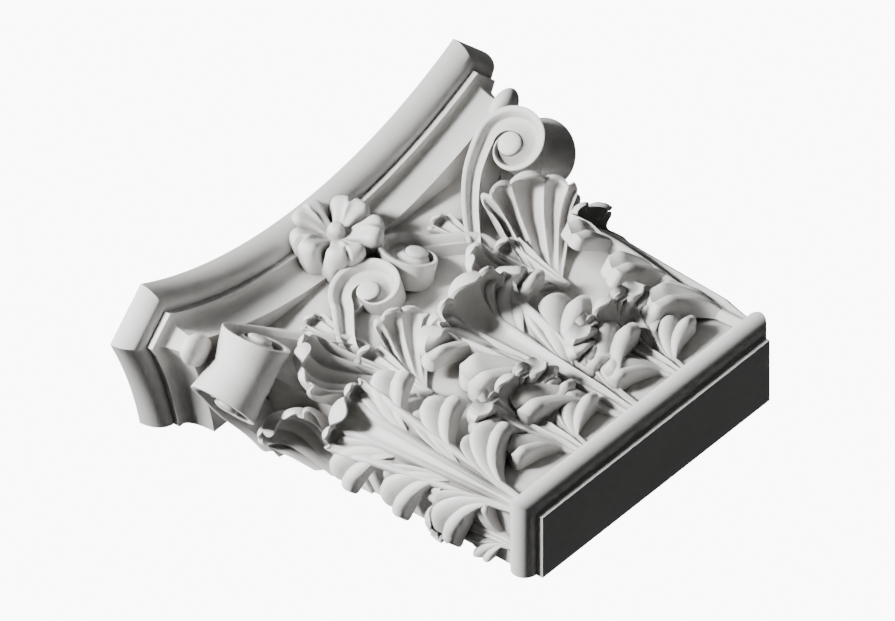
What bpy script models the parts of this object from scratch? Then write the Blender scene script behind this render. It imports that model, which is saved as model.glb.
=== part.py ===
"""Corinthian pilaster capital, cast as one piece, standing upright with its flat back to the wall.

The origin is the middle of the underside. +X is the capital's left-to-right, -Y its front, +Z up.
Inside the script a place is given as (x, n, z), where n is the distance out from the wall plane.
"""
import math

import bmesh
import bpy
import numpy as np
from mathutils import Matrix, Vector

# Neck: a thin slab, a half-round astragal and the flat bell that rises behind the leaves
NECK_WIDTH = 0.250
NECK_DEPTH = 0.0548
SLAB_HEIGHT = 0.0059
ASTRAGAL_RADIUS = 0.0102
ASTRAGAL_STEPS = 8
BELL_PROUD = 0.0024
OVERALL_HEIGHT = 0.3246

# Abacus: four-sided concave plan with cut horns, of which the front half stands out of the wall
ABACUS_SWEEP_RADIUS = 0.380
ABACUS_MIDDLE_DEPTH = 0.0852
ABACUS_HORN_HALF_WIDTH = 0.1722
ABACUS_CORNER_SHIFT = 0.0795
OVOLO_HEIGHT = 0.0190
OVOLO_INSET = 0.0140
FILLET_HEIGHT = 0.0052
STEP_INSET = 0.0038
CAVETTO_HEIGHT = 0.0222
CAVETTO_INSET = 0.0073
ABACUS_ARC_STEPS = 10

# Rosette on the middle of the abacus
ROSETTE_RADIUS = 0.0348
ROSETTE_FRONT = 0.0895
ROSETTE_BELOW_TOP = 0.0354
ROSETTE_PETALS = 5
ROSETTE_STEPS_PER_PETAL = 4
ROSETTE_BACK = 0.0500
# Share of the radius, and distance back from the front, of each ring in front of the back one
ROSETTE_PROFILE = ((0.97, 0.009), (0.88, 0.002), (0.65, 0.0), (0.24, 0.010), (0.15, 0.004), (0.05, 0.002))

# Corner volutes, one on each front corner, on a level axis square to the diagonal
VOLUTE_BELOW_TOP = 0.0794
VOLUTE_CENTRE = (0.1563, 0.0767, OVERALL_HEIGHT - VOLUTE_BELOW_TOP)
VOLUTE_RADIUS = 0.0286
VOLUTE_EYE_RADIUS = 0.0091
VOLUTE_HALF_LENGTH = 0.0272
VOLUTE_WAIST = 0.0036
VOLUTE_TURN = math.radians(400)
VOLUTE_STEM_WIDTH = 0.0190
VOLUTE_FACE_TURN = math.radians(35)
VOLUTE_OVERLAP = 0.0058

# Tongue between each corner volute and its horn: half sizes along the diagonal, across it and upright
TONGUE_BELOW_TOP = 0.0476
TONGUE_CENTRE = (0.1690, 0.0890, OVERALL_HEIGHT - TONGUE_BELOW_TOP)
TONGUE_SIZE = (0.0165, 0.0120, 0.0085)

# Inner helices, which meet under the rosette
HELIX_BELOW_TOP = 0.0864
HELIX_CENTRE = (0.0272, 0.0725, OVERALL_HEIGHT - HELIX_BELOW_TOP)
HELIX_RADIUS = 0.0286
HELIX_EYE_RADIUS = 0.0085
HELIX_DEPTH = 0.0200
HELIX_TURN = math.radians(340)
HELIX_TILT = math.radians(18)
HELIX_STEM_WIDTH = 0.0160

# Where the two stems of each side rise together out of the bell, how far apart they start, the points
# each then passes and the depth of each at its foot
STEM_FOOT = (0.0700, 0.0560, 0.1960)
STEM_FOOT_SPREAD_SHARE = 0.14
VOLUTE_STEM_PATH = ((0.0600, 0.0610, 0.2160), (0.0700, 0.0650, 0.2300), (0.0900, 0.0700, 0.2500),
                    (0.1100, 0.0790, 0.2650))
VOLUTE_STEM_DEPTH = 0.0160
HELIX_STEM_PATH = ((0.0820, 0.0600, 0.2080), (0.0765, 0.0650, 0.2260))
HELIX_STEM_DEPTH = 0.0120

# Acanthus leaves: place of the axis, half width, height of the crest over the astragal, reach of the lip
LOWER_LEAF_X = 0.0538
LOWER_LEAF_HALF_WIDTH = 0.0450
LOWER_LEAF_HEIGHT = 0.0690
LOWER_LEAF_REACH = 0.0300
SIDE_LEAF_PLACE = 0.0210
SIDE_LEAF_HALF_WIDTH = 0.0300
SIDE_LEAF_HEIGHT = 0.0620
SIDE_LEAF_REACH = 0.0200
MIDDLE_LEAF_HALF_WIDTH = 0.0630
MIDDLE_LEAF_HEIGHT = 0.1530
MIDDLE_LEAF_REACH = 0.0440
CORNER_LEAF_HALF_WIDTH = 0.0470
CORNER_LEAF_HEIGHT = 0.1500
CORNER_LEAF_REACH = 0.0250
LEAF_THICKNESS = 0.0040
ROOT_DEPTH = 0.0040
LIP_SHARE = 0.60
FOOT_SUNK = 0.0060
BLADE_PROUD = 0.0030
LOBE_ROOT_DROP_SHARE = 0.16
LOBE_FREE_SHARE = 0.60
LEAN_AT_FOOT = math.radians(2)
BEND = math.radians(78)
CURL_FROM_SHARE = 0.86
CURL = math.radians(112)
LEAF_LIP_END_SHARE = 0.80
CORNER_LIP_END_SHARE = 0.82
CALYX_LIP_END_SHARE = 0.76
BLADE_STEPS = (8, 5)
CALYX_BLADE_STEPS = (7, 4)
SMALL_BLADE_STEPS = (5, 3)
LOBE_STEPS = (4, 2)

# Calyx leaves that open under the scrolls: foot, half width, length and reach of the lip
CALYX_FOOT = (0.0720, 0.0570, 0.1560)
OUTER_CALYX_HALF_WIDTH = 0.0580
OUTER_CALYX_LENGTH = 0.0850
OUTER_CALYX_REACH = 0.0340
OUTER_CALYX_LEAN = math.radians(40)
INNER_CALYX_HALF_WIDTH = 0.0350
INNER_CALYX_LENGTH = 0.0570
INNER_CALYX_REACH = 0.0280
INNER_CALYX_LEAN = math.radians(-38)

# Small leaves: one on the stalk below each fork, and one sprouting in the fork of the two stems
STALK_LEAF_FOOT = (0.0760, 0.0575, 0.1480)
STALK_LEAF_HALF_WIDTH = 0.0230
STALK_LEAF_LENGTH = 0.0560
STALK_LEAF_REACH = 0.0130
FORK_LEAF_FOOT = (0.0700, 0.0570, 0.2150)
FORK_LEAF_HALF_WIDTH = 0.0190
FORK_LEAF_LENGTH = 0.0430
FORK_LEAF_REACH = 0.0100

# Share of the united carving's triangles that is kept: those along its seams and on flat ground go first
FACES_KEPT_SHARE = 0.64

# Size of the end of a band that is hidden inside the next one, as a share of its full section
HIDDEN_END_SHARE = 0.94

# How far the bell and abacus are first drawn behind the wall plane, before the back is cut flat
RUN_BEHIND = 0.0100

# The block that is cut away behind the wall plane
WALL_SPAN = 1.0
WALL_DEPTH = 0.2

# Values worked out from the sizes above
BACK_Y = NECK_DEPTH / 2
HALF_NECK = NECK_WIDTH / 2
NECK_TOP = SLAB_HEIGHT + 2 * ASTRAGAL_RADIUS
ABACUS_HEIGHT = OVOLO_HEIGHT + FILLET_HEIGHT + CAVETTO_HEIGHT
ABACUS_UNDERSIDE = OVERALL_HEIGHT - ABACUS_HEIGHT
BELL_FACE = NECK_DEPTH + BELL_PROUD
HALF_BELL = HALF_NECK + BELL_PROUD
SQUARE = math.sqrt(0.5)


def place(x, n, z):
    """World place of a point given by its distance n out from the wall plane."""
    return Vector((x, BACK_Y - n, z))


def clear_scene():
    for item in list(bpy.data.objects):
        bpy.data.objects.remove(item, do_unlink=True)


def make_collection(name):
    collection = bpy.data.collections.new(name)
    bpy.context.scene.collection.children.link(collection)
    return collection


def plaster():
    """White cast gypsum plaster, matt and slightly warm."""
    material = bpy.data.materials.new("white_plaster")
    material.use_nodes = True
    shader = material.node_tree.nodes["Principled BSDF"]
    shader.inputs["Base Color"].default_value = (0.80, 0.79, 0.77, 1.0)
    shader.inputs["Roughness"].default_value = 0.70
    shader.inputs["Metallic"].default_value = 0.0
    return material


def add_shell(bm, name, collection):
    """Keep one closed shell as an object, in flat triangles that point out."""
    bmesh.ops.remove_doubles(bm, verts=bm.verts, dist=0.00001)
    bmesh.ops.recalc_face_normals(bm, faces=bm.faces)
    bmesh.ops.triangulate(bm, faces=bm.faces)
    mesh = bpy.data.meshes.new(name)
    bm.to_mesh(mesh)
    bm.free()
    item = bpy.data.objects.new(name, mesh)
    item.hide_render = True
    item.display_type = "WIRE"
    collection.objects.link(item)
    return item


def loft(rings, name, collection):
    """Closed solid through rings that all have the same number of points."""
    bm = bmesh.new()
    rows = [[bm.verts.new(point) for point in ring] for ring in rings]
    count = len(rows[0])
    for low, high in zip(rows, rows[1:]):
        for i in range(count):
            j = (i + 1) % count
            bm.faces.new((low[i], low[j], high[j], high[i]))
    bm.faces.new(rows[0][::-1])
    bm.faces.new(rows[-1])
    return add_shell(bm, name, collection)


def sheet(surface, steps_across, steps_along, thickness, name, collection):
    """Thick sheet between surface(u, v, 0) and the smoother surface(u, v, thickness) behind it."""
    bm = bmesh.new()
    faces = []
    for depth in (0.0, thickness):
        rows = []
        for j in range(steps_along + 1):
            v = (j / steps_along) ** 0.6
            rows.append([bm.verts.new(surface(i / steps_across, v, depth)) for i in range(steps_across + 1)])
        faces.append(rows)
        for low, high in zip(rows, rows[1:]):
            for i in range(steps_across):
                bm.faces.new((low[i], low[i + 1], high[i + 1], high[i]))
    front, back = faces
    for rows in ((front[0], back[0]), (front[-1], back[-1])):
        for i in range(steps_across):
            bm.faces.new((rows[0][i], rows[0][i + 1], rows[1][i + 1], rows[1][i]))
    for i in (0, -1):
        for j in range(steps_along):
            bm.faces.new((front[j][i], front[j + 1][i], back[j + 1][i], back[j][i]))
    return add_shell(bm, name, collection)


def neck_and_bell(collection):
    """Slab, astragal and bell as one stack of outlines, each offset from the neck."""
    def outline(offset, z):
        half = HALF_NECK + offset
        depth = NECK_DEPTH + offset
        corners = ((-half, -RUN_BEHIND), (-half, depth), (half, depth), (half, -RUN_BEHIND))
        return [place(x, n, z) for x, n in corners]

    middle = SLAB_HEIGHT + ASTRAGAL_RADIUS
    rings = [outline(0, 0), outline(0, SLAB_HEIGHT)]
    for step in range(1, ASTRAGAL_STEPS):
        angle = math.pi * step / ASTRAGAL_STEPS
        rings.append(outline(ASTRAGAL_RADIUS * math.sin(angle), middle - ASTRAGAL_RADIUS * math.cos(angle)))
    rings.append(outline(BELL_PROUD, NECK_TOP))
    rings.append(outline(BELL_PROUD, ABACUS_UNDERSIDE + CAVETTO_HEIGHT / 2))
    return loft(rings, "bell", collection)


def abacus_outline(inset, z):
    """Plan of the abacus at one inset: side arc, cut horn, front arc, horn and side arc again."""
    centre = ABACUS_MIDDLE_DEPTH + ABACUS_SWEEP_RADIUS
    radius = ABACUS_SWEEP_RADIUS + inset
    horn_depth = centre - math.sqrt(ABACUS_SWEEP_RADIUS ** 2 - ABACUS_HORN_HALF_WIDTH ** 2)
    cut = ABACUS_HORN_HALF_WIDTH + horn_depth - inset / SQUARE

    def arc_depth(x):
        return centre - math.sqrt(radius ** 2 - x ** 2)

    low, high = 0.0, cut
    for _ in range(40):
        middle = (low + high) / 2
        if middle + arc_depth(middle) < cut:
            low = middle
        else:
            high = middle
    tip = low
    across = [tip * (2 * i / ABACUS_ARC_STEPS - 1) for i in range(ABACUS_ARC_STEPS + 1)]
    front = [(x, arc_depth(x)) for x in across]
    side_steps = ABACUS_ARC_STEPS // 2
    side = []
    for i in range(side_steps + 1):
        along = tip + (ABACUS_CORNER_SHIFT - RUN_BEHIND - tip) * i / side_steps
        side.append((arc_depth(along) + ABACUS_CORNER_SHIFT, along - ABACUS_CORNER_SHIFT))
    left = [(-x, n) for x, n in reversed(side)]
    return [place(x, n, z) for x, n in left + front + side]


def abacus(collection):
    """Ovolo, fillet, step and cavetto, from the top down."""
    rings = []
    for step in range(5):
        angle = math.pi / 2 * step / 4
        inset = OVOLO_INSET * (1 - math.cos(angle))
        rings.append(abacus_outline(inset, OVERALL_HEIGHT - OVOLO_HEIGHT * math.sin(angle)))
    z = OVERALL_HEIGHT - OVOLO_HEIGHT - FILLET_HEIGHT
    rings.append(abacus_outline(OVOLO_INSET, z))
    rings.append(abacus_outline(OVOLO_INSET + STEP_INSET, z))
    for step in range(1, 5):
        angle = math.pi / 2 * step / 4
        inset = OVOLO_INSET + STEP_INSET + CAVETTO_INSET * math.sin(angle)
        rings.append(abacus_outline(inset, z - CAVETTO_HEIGHT * (1 - math.cos(angle))))
    return loft(rings, "abacus", collection)


def rosette(collection):
    """Five-petalled flower: petals with a groove down the middle and a round button."""
    z0 = OVERALL_HEIGHT - ROSETTE_BELOW_TOP
    rings = []
    steps = ROSETTE_PETALS * ROSETTE_STEPS_PER_PETAL
    profile = [(0.78, ROSETTE_BACK)]
    profile += [(share, ROSETTE_FRONT - back) for share, back in ROSETTE_PROFILE]
    for share, n in profile:
        ring = []
        for i in range(steps):
            angle = 2 * math.pi * i / steps
            petal = abs(math.cos(ROSETTE_PETALS * angle / 2))
            groove = max(0.0, 1 - abs(math.sin(ROSETTE_PETALS * angle / 2)) * 5)
            grow = min(1.0, max(0.0, (share - 0.15) / 0.5))
            reach = share * (1 - 0.20 * grow * (1 - petal ** 0.6) - 0.07 * grow * groove)
            fall = 0.005 * grow * (1 - petal) + 0.002 * grow * groove
            if n == ROSETTE_BACK:
                fall = 0
            x = ROSETTE_RADIUS * reach * math.sin(angle)
            z = z0 + ROSETTE_RADIUS * reach * math.cos(angle)
            ring.append(place(x, n - fall, z))
        rings.append(ring)
    return loft(rings, "rosette", collection)


def scroll_radius(turned, radius, eye, turn, power):
    """Radius of the scroll's outer edge after the given angle: it closes in on the eye."""
    share = min(1.0, turned / turn)
    return eye + (radius - eye) * math.cos(math.pi / 2 * share ** power) ** 2


def smooth_path(points, count):
    """Catmull-Rom curve through the points, at count + 1 places."""
    knots = [2 * points[0] - points[1]] + list(points) + [2 * points[-1] - points[-2]]
    spans = len(points) - 1
    path = []
    for i in range(count + 1):
        along = spans * i / count
        k = min(int(along), spans - 1)
        t = along - k
        a, b, c, d = knots[k:k + 4]
        path.append(0.5 * (2 * b + (c - a) * t + (2 * a - 5 * b + 4 * c - d) * t * t
                           + (3 * b - a - 3 * c + d) * t ** 3))
    return path


def scroll_band(stations, hidden_end, name, collection):
    """Sweep of a band: each station is rim point, inward way, axis, width, rim, channel, depth and waist.

    The section at the hidden end is drawn a little smaller, so that it lies inside the band it joins.
    """
    rings = []
    for rim_point, inward, axis, width, rim, channel, depth, waist in stations:
        section = ((0, 0), (0, rim), (channel, rim * 1.9), (channel, width),
                   (depth, width), (depth, waist), (depth * 0.55, waist * 0.75))
        rings.append([rim_point - axis * back + inward * across for back, across in section])
    ring = rings[hidden_end]
    middle = sum(ring, Vector()) / len(ring)
    rings[hidden_end] = [middle + (point - middle) * HIDDEN_END_SHARE for point in ring]
    return loft(rings, name, collection)


def scroll(centre, side, up, axis, radius, eye, turn, power, start, depth, waist, stem, stem_width,
           foot_axis, foot_depth, name, collection, steps):
    """A scroll and its stem: the band, the sunk floor of the channel and the raised eye.

    The scroll lies in the plane of side and up, its face looks along axis, and it turns from the
    start angle over the top towards side. The stem's points lead to the start from its foot.
    """
    rim = radius * 0.13
    channel = radius * 0.20
    total = turn * 1.12

    def edge(turned, inset=0.0):
        angle = start - turned
        reach = scroll_radius(max(0.0, turned), radius, eye, turn, power) - inset
        return centre + reach * (math.cos(angle) * side + math.sin(angle) * up)

    def width_at(turned):
        outer = scroll_radius(turned, radius, eye, turn, power)
        inner = scroll_radius(turned + 2 * math.pi, radius, eye, turn, power)
        return max(outer - inner, rim * 1.2)

    mouth = min(stem_width, width_at(0.0) * 0.85)
    stations = []
    path = smooth_path([Vector(p) for p in stem] + [edge(0.0)], max(4, steps // 3))
    for i, point in enumerate(path[:-1]):
        share = i / (len(path) - 1)
        ahead = path[i + 1] - path[max(0, i - 1)]
        way = foot_axis.lerp(axis, share).normalized()
        inward = way.cross(ahead).normalized()
        if inward.dot(centre - point) < 0:
            inward.negate()
        width = mouth * (0.45 + 0.55 * share)
        back = foot_depth + (depth - foot_depth) * share
        stations.append((point, inward, way, width, rim * (0.6 + 0.4 * share), channel * share, back,
                         waist * share))
    for i in range(steps + 1):
        turned = total * i / steps
        point = edge(turned)
        width = width_at(turned)
        slim = min(rim, width * 0.3)
        extent = max(min(width * 0.62, mouth), slim * 2.0)
        blend = min(1.0, i / 2)
        extent = extent * blend + mouth * (1 - blend)
        stations.append((point, (centre - point).normalized(), axis, extent, slim, channel, depth,
                         min(waist, extent * 0.7)))
    scroll_band(stations[:len(path) + 1], -1, name + "_stem", collection)
    scroll_band(stations[len(path) - 1:], 0, name + "_band", collection)
    first = math.radians(-30)
    outline = []
    count = steps
    for i in range(count + 1):
        turned = first + 2 * math.pi * i / count
        outline.append(edge(turned, width_at(max(0.0, turned)) * 0.45))
    rings = [[p - axis * channel for p in outline], [p - axis * depth * 0.97 for p in outline]]
    loft(rings, name + "_floor", collection)
    disc = []
    for i in range(12):
        angle = 2 * math.pi * i / 12
        disc.append(math.cos(angle) * side + math.sin(angle) * up)
    rings = [[centre + eye * 0.97 * p - axis * (channel * 1.5) for p in disc],
             [centre + eye * 0.97 * p for p in disc],
             [centre + eye * 0.60 * p + axis * eye * 0.16 for p in disc]]
    loft(rings, name + "_eye", collection)


def corner_volute(hand, collection, steps=14):
    """Scroll on a corner: a front half and a side half, mirrored in the upright diagonal plane."""
    cx, cn, cz = VOLUTE_CENTRE
    shift = cx - cn
    side_gain = (cx - HALF_BELL) / (cn - BELL_FACE)
    stem = ((STEM_FOOT[0] * (1 - STEM_FOOT_SPREAD_SHARE), *STEM_FOOT[1:]), *VOLUTE_STEM_PATH)
    for half, label in ((1, "front"), (-1, "side")):
        def spot(x, n, z):
            if half < 0:
                x, n = HALF_BELL + (n - BELL_FACE) * side_gain, x - shift
            return place(hand * x, n, z)

        def way(dx, dn, dz):
            if half < 0:
                dx, dn = dn, dx
            return Vector((hand * dx, -dn, dz)).normalized()

        axis = way(-math.sin(VOLUTE_FACE_TURN), math.cos(VOLUTE_FACE_TURN), 0)
        sideways = way(math.cos(VOLUTE_FACE_TURN), math.sin(VOLUTE_FACE_TURN), 0)
        centre = spot(cx, cn, cz) + way(-1, 1, 0) * VOLUTE_HALF_LENGTH
        scroll(centre, sideways, Vector((0, 0, 1)), axis, VOLUTE_RADIUS, VOLUTE_EYE_RADIUS,
               VOLUTE_TURN, 1.7, math.radians(105), VOLUTE_HALF_LENGTH + VOLUTE_OVERLAP, VOLUTE_WAIST,
               [spot(*p) for p in stem], VOLUTE_STEM_WIDTH, way(0, 1, 0), VOLUTE_STEM_DEPTH,
               f"volute_{label}_{hand}", collection, steps)


def helix(hand, collection, steps=12):
    """Inner scroll: its face is turned a little outwards, and its drum runs back into the bell."""
    cx, cn, cz = HELIX_CENTRE
    axis = Vector((hand * math.sin(HELIX_TILT), -math.cos(HELIX_TILT), 0))
    side = Vector((-hand * math.cos(HELIX_TILT), -math.sin(HELIX_TILT), 0))
    stem = ((STEM_FOOT[0] * (1 + STEM_FOOT_SPREAD_SHARE), *STEM_FOOT[1:]), *HELIX_STEM_PATH)
    stem = [place(hand * x, n, z) for x, n, z in stem]
    scroll(place(hand * cx, cn, cz), side, Vector((0, 0, 1)), axis, HELIX_RADIUS, HELIX_EYE_RADIUS,
           HELIX_TURN, 1.9, math.radians(150), HELIX_DEPTH, 0.0, stem, HELIX_STEM_WIDTH,
           Vector((0, -1, 0)), HELIX_STEM_DEPTH, f"helix_{hand}", collection, steps)


def spine_points(bend_from, steps=60):
    """Side view of a leaf of length 1 that stands straight, bends out from bend_from and curls its lip."""
    outs, ups = [0.0], [0.0]
    for i in range(steps):
        share = (i + 0.5) / steps
        bent_share = min(1.0, max(0.0, (share - bend_from) / (CURL_FROM_SHARE - bend_from)))
        curled_share = max(0.0, (share - CURL_FROM_SHARE) / (1 - CURL_FROM_SHARE))
        lean = LEAN_AT_FOOT + BEND * bent_share ** 1.3 + CURL * curled_share
        outs.append(outs[-1] + math.sin(lean) / steps)
        ups.append(ups[-1] + math.cos(lean) / steps)
    return outs, ups


def leaf_spine(height, reach):
    """Side view of a leaf: up along the bell, over the crest and down into the curled lip."""
    early, late = 0.05, CURL_FROM_SHARE - 0.05
    for _ in range(20):
        bend_from = (early + late) / 2
        outs, ups = spine_points(bend_from)
        if max(outs) / max(ups) > reach / height:
            early = bend_from
        else:
            late = bend_from
    outs = np.array(outs) * reach / max(outs)
    ups = np.array(ups) * height / max(ups)
    length = float(np.sum(np.hypot(np.diff(outs), np.diff(ups))))
    return outs, ups, length


def leaf(foot, across, up, out, half_width, height, reach, lobes, wrap, ends, name, collection,
         blade_steps=BLADE_STEPS):
    """Acanthus leaf: a middle blade with a curled, scalloped lip, and toothed lobes at each side.

    The leaf is first thought of flat, as (x, y, lift), and then bent along its spine. A leaf on a
    corner wraps round it: its halves turn back by the slope wrap. The lip's two ends lie at the
    share ends of the leaf's length.
    """
    outs, ups, length = leaf_spine(height, reach)
    shares = np.linspace(0, 1, len(outs))
    soft = half_width * 0.15

    def bent(x, y, lift):
        share = min(1.0, max(0.0, y / length))
        o = float(np.interp(share, shares, outs))
        z = float(np.interp(share, shares, ups))
        step = 0.02
        o1 = float(np.interp(min(1.0, share + step), shares, outs))
        z1 = float(np.interp(min(1.0, share + step), shares, ups))
        o0 = float(np.interp(max(0.0, share - step), shares, outs))
        z0 = float(np.interp(max(0.0, share - step), shares, ups))
        slope = Vector((o1 - o0, z1 - z0)).normalized()
        lift -= wrap * (math.hypot(x, soft) - soft) * (1 - 0.85 * share)
        return foot + across * x + out * (o + lift * slope.y) + up * (z + min(0.0, y) - lift * slope.x)

    def teeth(u, count, depth):
        return 1 - depth * (1 - abs(math.sin(math.pi * count * u)) ** 0.55)

    def blade(u, v, depth):
        turn = math.pi * (u - 0.5)
        scallop = teeth(u, 5, 0.14)
        tip_x = half_width * LIP_SHARE * math.sin(turn) * (0.5 + 0.5 * scallop)
        tip_y = length * (ends + (1 - ends) * math.cos(turn)) * (0.4 + 0.6 * scallop)
        start_x = half_width * 0.15 * (2 * u - 1)
        mid_x = half_width * 0.44 * (2 * u - 1)
        mid_y = length * 0.52
        x = start_x * (1 - v) ** 2 + 2 * mid_x * v * (1 - v) + tip_x * v * v
        y = 2 * mid_y * v * (1 - v) + tip_y * v * v - FOOT_SUNK * (1 - v) ** 2
        ridge = 0.04 * half_width * abs(math.sin(math.pi * 5 * u)) * v ** 3
        rib = 0.035 * half_width * math.exp(-((u - 0.5) / 0.07) ** 2) * (1 - v * 0.6)
        flare = min(0.70 * x * x / half_width * min(1.0, y / length / 0.5), 0.08 * length)
        lift = BLADE_PROUD + flare + ridge + rib
        if depth:
            lift = (BLADE_PROUD + flare - depth) * v - ROOT_DEPTH * (1 - v)
        return bent(x, y, lift)

    sheet(blade, blade_steps[0], blade_steps[1], LEAF_THICKNESS, name + "_blade", collection)
    for side in (-1, 1):
        for k in range(lobes):
            level = 0.22 + 0.46 * k / max(1, lobes - 1)
            size = half_width * (0.45 + 0.03 * k)
            free = LOBE_FREE_SHARE * k / max(1, lobes - 1)

            def lobe(u, v, depth, side=side, level=level, size=size, free=free):
                if side > 0:
                    u = 1 - u
                angle = math.radians(-12 + 128 * u)
                scallop = teeth(u, 2, 0.16)
                tip_x = half_width - size + size * math.cos(angle) * scallop
                tip_y = length * level + size * math.sin(angle) * scallop
                root_x = half_width * (0.08 + 0.08 * (1 - u))
                root_y = length * (level - LOBE_ROOT_DROP_SHARE)
                mid_x = half_width * (0.20 + 0.16 * (1 - u))
                mid_y = root_y + 0.78 * (tip_y - root_y)
                x = root_x * (1 - v) ** 2 + 2 * mid_x * v * (1 - v) + tip_x * v * v
                y = root_y * (1 - v) ** 2 + 2 * mid_y * v * (1 - v) + tip_y * v * v
                ridge = 0.075 * half_width * abs(math.sin(math.pi * 2 * u)) * v ** 1.5
                raised = 0.13 * half_width * math.sin(math.pi / 2 * min(1.0, v / 0.6))
                tuck = 0.14 * half_width * (0.5 - u) * v
                if depth:
                    return bent(side * x, y, free * (raised + tuck) - ROOT_DEPTH)
                return bent(side * x, y, 0.0015 + raised + tuck + ridge)

            sheet(lobe, LOBE_STEPS[0], LOBE_STEPS[1], LEAF_THICKNESS, f"{name}_lobe_{side}_{k}", collection)


def all_leaves(collection):
    """Lower row, side leaves, then the taller row in the middle and on the two corners."""
    face = BELL_FACE
    right = Vector((1, 0, 0))
    front = Vector((0, -1, 0))
    up = Vector((0, 0, 1))
    leaf(place(0, face, NECK_TOP), right, up, front, MIDDLE_LEAF_HALF_WIDTH, MIDDLE_LEAF_HEIGHT,
         MIDDLE_LEAF_REACH, 3, 0.0, LEAF_LIP_END_SHARE, "middle_leaf", collection)
    for hand in (-1, 1):
        leaf(place(hand * LOWER_LEAF_X, face, NECK_TOP), right, up, front, LOWER_LEAF_HALF_WIDTH,
             LOWER_LEAF_HEIGHT, LOWER_LEAF_REACH, 3, 0.0, LEAF_LIP_END_SHARE, f"lower_leaf_{hand}",
             collection)
        out = Vector((hand, -1, 0)).normalized()
        across = Vector((1, hand, 0)).normalized()
        leaf(place(hand * HALF_BELL, face, NECK_TOP), across, up, out, CORNER_LEAF_HALF_WIDTH,
             CORNER_LEAF_HEIGHT, CORNER_LEAF_REACH, 3, 0.9, CORNER_LIP_END_SHARE, f"corner_leaf_{hand}",
             collection)
        leaf(place(hand * HALF_BELL, SIDE_LEAF_PLACE, NECK_TOP), Vector((0, hand, 0)), up,
             Vector((hand, 0, 0)), SIDE_LEAF_HALF_WIDTH, SIDE_LEAF_HEIGHT, SIDE_LEAF_REACH, 2, 0.0,
             LEAF_LIP_END_SHARE, f"side_leaf_{hand}", collection, CALYX_BLADE_STEPS)


def calyx_leaf(foot, lean, hand, half_width, length, reach, mirrored, name, collection,
               blade_steps=BLADE_STEPS):
    """Blade alone, leaning towards the corner or the middle, on the front or mirrored to the side."""
    shift = VOLUTE_CENTRE[0] - VOLUTE_CENTRE[1]

    def way(dx, dn, dz):
        if mirrored:
            dx, dn = dn, dx
        return Vector((hand * dx, -dn, dz))

    x, n, z = foot
    if mirrored:
        x, n = HALF_BELL + n - BELL_FACE, x - shift
    up = way(math.sin(lean), 0, math.cos(lean))
    out = way(0, 1, 0)
    across = up.cross(out)
    leaf(place(hand * x, n, z), across, up, out, half_width, length, reach, 0, 0.0, CALYX_LIP_END_SHARE,
         name, collection, blade_steps)


def all_calyxes(collection):
    for hand in (-1, 1):
        for mirrored in (False, True):
            calyx_leaf(CALYX_FOOT, OUTER_CALYX_LEAN, hand, OUTER_CALYX_HALF_WIDTH, OUTER_CALYX_LENGTH,
                       OUTER_CALYX_REACH, mirrored, f"outer_calyx_{hand}_{int(mirrored)}", collection,
                       CALYX_BLADE_STEPS)
        calyx_leaf(CALYX_FOOT, INNER_CALYX_LEAN, hand, INNER_CALYX_HALF_WIDTH, INNER_CALYX_LENGTH,
                   INNER_CALYX_REACH, False, f"inner_calyx_{hand}", collection, CALYX_BLADE_STEPS)
        calyx_leaf(STALK_LEAF_FOOT, 0.0, hand, STALK_LEAF_HALF_WIDTH, STALK_LEAF_LENGTH,
                   STALK_LEAF_REACH, False, f"stalk_leaf_{hand}", collection, SMALL_BLADE_STEPS)
        calyx_leaf(FORK_LEAF_FOOT, 0.0, hand, FORK_LEAF_HALF_WIDTH, FORK_LEAF_LENGTH,
                   FORK_LEAF_REACH, False, f"fork_leaf_{hand}", collection, SMALL_BLADE_STEPS)


def horn_tongue(hand, collection):
    """Rounded tongue that fills the space between a corner volute and the horn above it."""
    bm = bmesh.new()
    bmesh.ops.create_uvsphere(bm, u_segments=8, v_segments=5, radius=1.0)
    along, wide, high = TONGUE_SIZE
    bmesh.ops.scale(bm, vec=(wide, along, high), verts=bm.verts)
    turn = Matrix.Rotation(hand * math.radians(45), 3, "Z")
    bmesh.ops.rotate(bm, matrix=turn, verts=bm.verts)
    x, n, z = TONGUE_CENTRE
    bmesh.ops.translate(bm, vec=place(hand * x, n, z), verts=bm.verts)
    return add_shell(bm, f"horn_tongue_{hand}", collection)


def wall_block(collection):
    """Everything behind the wall plane, which is cut away flat."""
    bm = bmesh.new()
    bmesh.ops.create_cube(bm, size=1.0)
    bmesh.ops.scale(bm, vec=(WALL_SPAN, WALL_DEPTH, WALL_SPAN), verts=bm.verts)
    bmesh.ops.translate(bm, vec=(0, BACK_Y + WALL_DEPTH / 2, OVERALL_HEIGHT / 2), verts=bm.verts)
    return add_shell(bm, "wall_block", collection)


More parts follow.
